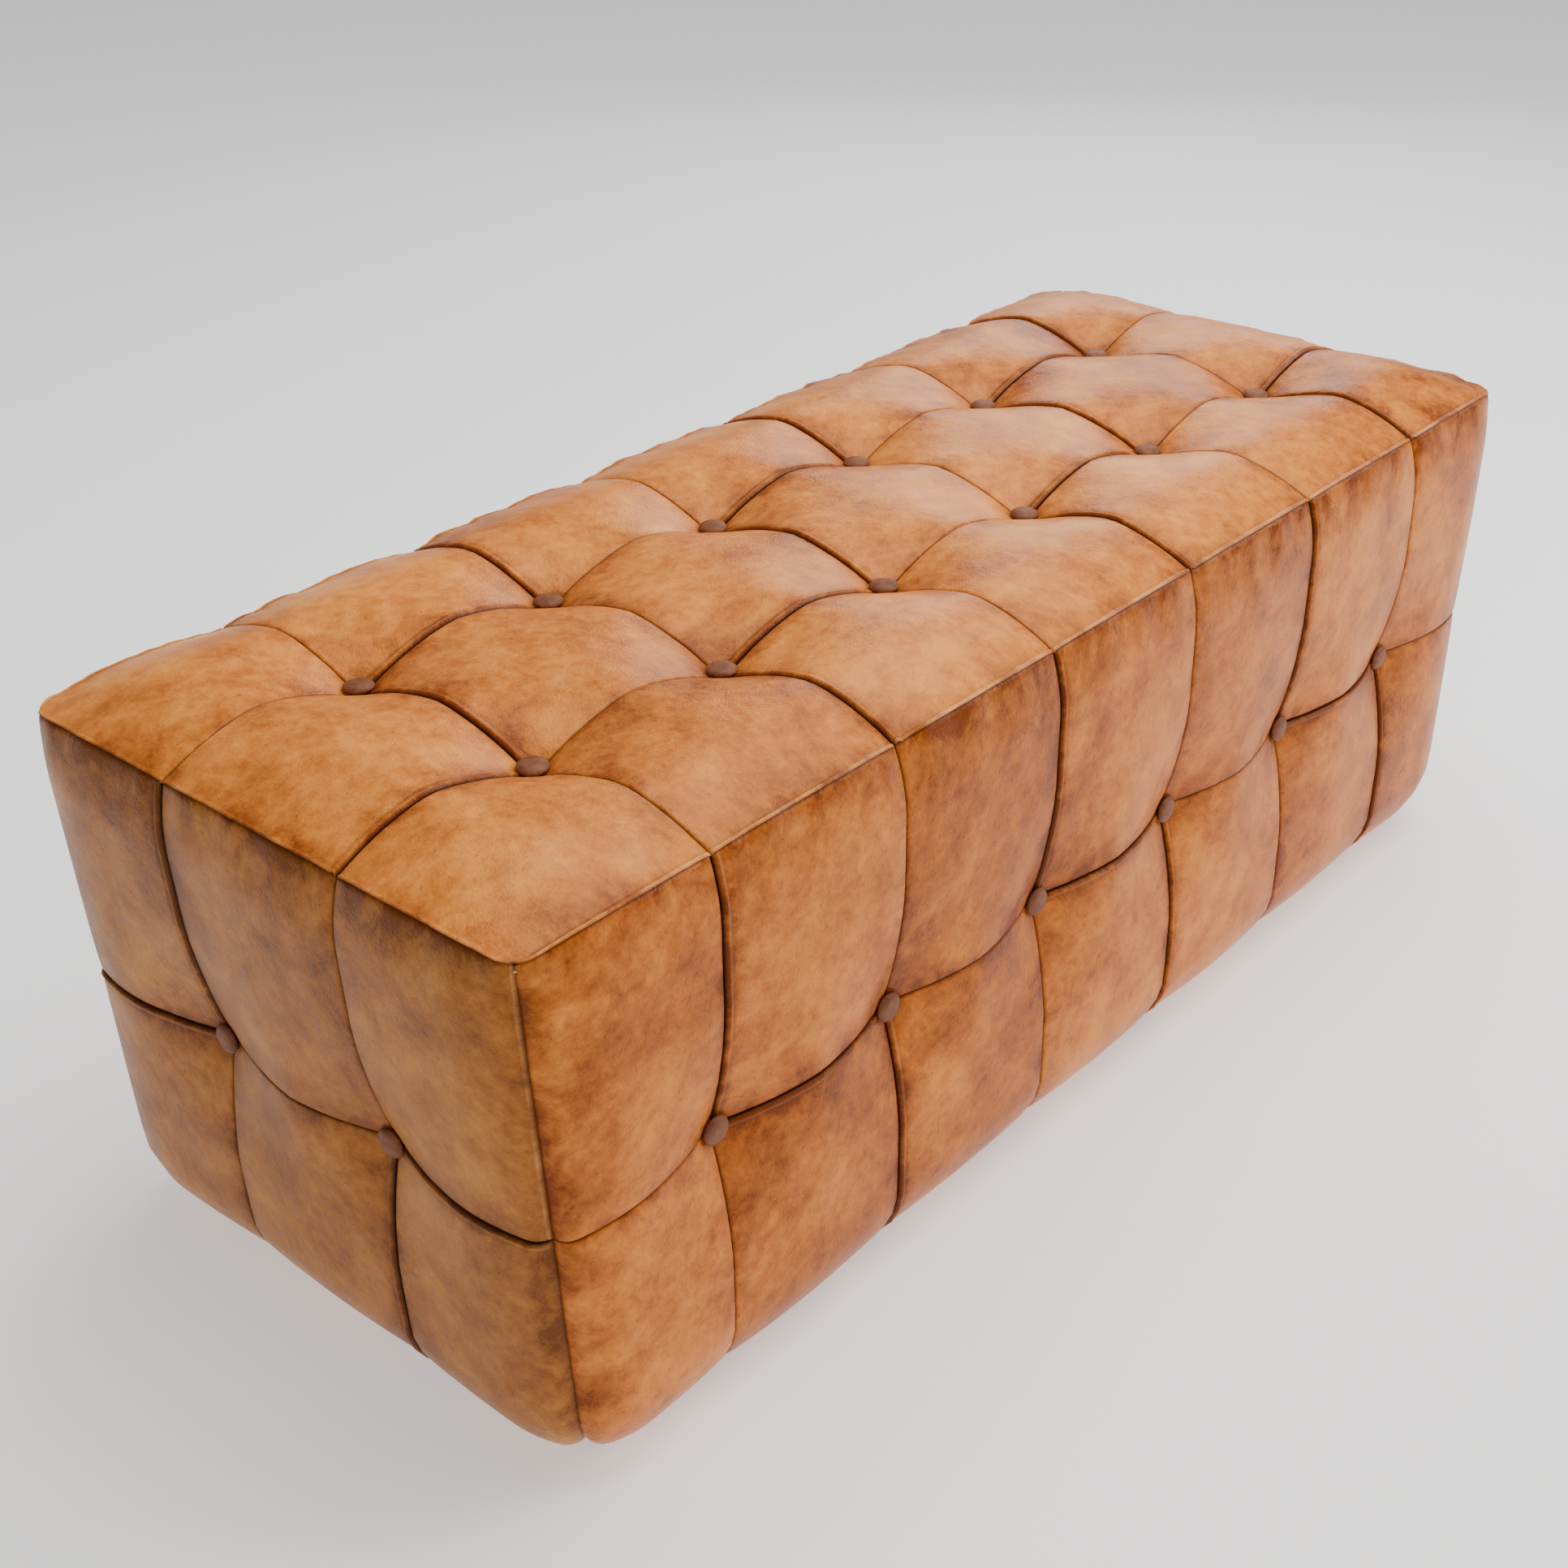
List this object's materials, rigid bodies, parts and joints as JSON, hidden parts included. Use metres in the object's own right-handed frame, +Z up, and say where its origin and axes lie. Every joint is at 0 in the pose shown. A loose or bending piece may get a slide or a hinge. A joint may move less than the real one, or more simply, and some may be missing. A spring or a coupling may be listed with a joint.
{
  "type": "tufted ottoman bench",
  "caption": "Low rectangular ottoman bench in patchwork tan leather, button-tufted on the top and all four sides, over foam and a timber box on low glides.",
  "frame": {"origin": "centre of the footprint, on the floor under the glides", "axes": "+X along the length, towards the right end seen from the front; +Y towards the back; +Z up"},
  "size_m": [1.2082, 0.499, 0.457],
  "materials": {
    "leather_tan": "satin",
    "button_leather": "satin",
    "foam": "matte",
    "plywood": "matte",
    "pine": "matte",
    "dust_cloth": "matte",
    "glide_plastic": "satin"
  },
  "bodies": {
    "root": {"back_bottom_rail": "pine", "back_button_1": "button_leather", "back_button_2": "button_leather", "back_button_3": "button_leather", "back_button_4": "button_leather", "back_button_5": "button_leather", "back_button_6": "button_leather", "back_cover": "leather_tan", "back_foam": "foam", "back_left_glide": "glide_plastic", "back_left_post": "pine", "back_panel": "plywood", "back_right_glide": "glide_plastic", "back_right_post": "pine", "back_top_rail": "pine", "bottom_cross_rail": "pine", "dust_cloth": "dust_cloth", "front_bottom_rail": "pine", "front_button_1": "button_leather", "front_button_2": "button_leather", "front_button_3": "button_leather", "front_button_4": "button_leather", "front_button_5": "button_leather", "front_button_6": "button_leather", "front_cover": "leather_tan", "front_foam": "foam", "front_left_glide": "glide_plastic", "front_left_post": "pine", "front_panel": "plywood", "front_right_glide": "glide_plastic", "front_right_post": "pine", "front_top_rail": "pine", "left_bottom_rail": "pine", "left_button_back": "button_leather", "left_button_front": "button_leather", "left_cover": "leather_tan", "left_foam": "foam", "left_panel": "plywood", "right_bottom_rail": "pine", "right_button_back": "button_leather", "right_button_front": "button_leather", "right_cover": "leather_tan", "right_foam": "foam", "right_panel": "plywood", "top_button_back_1": "button_leather", "top_button_back_2": "button_leather", "top_button_back_3": "button_leather", "top_button_back_4": "button_leather", "top_button_back_5": "button_leather", "top_button_back_6": "button_leather", "top_button_front_1": "button_leather", "top_button_front_2": "button_leather", "top_button_front_3": "button_leather", "top_button_front_4": "button_leather", "top_button_front_5": "button_leather", "top_button_front_6": "button_leather", "top_cover": "leather_tan", "top_cross_rail": "pine", "top_deck": "plywood", "top_foam": "foam"}
  },
  "joints": []
}
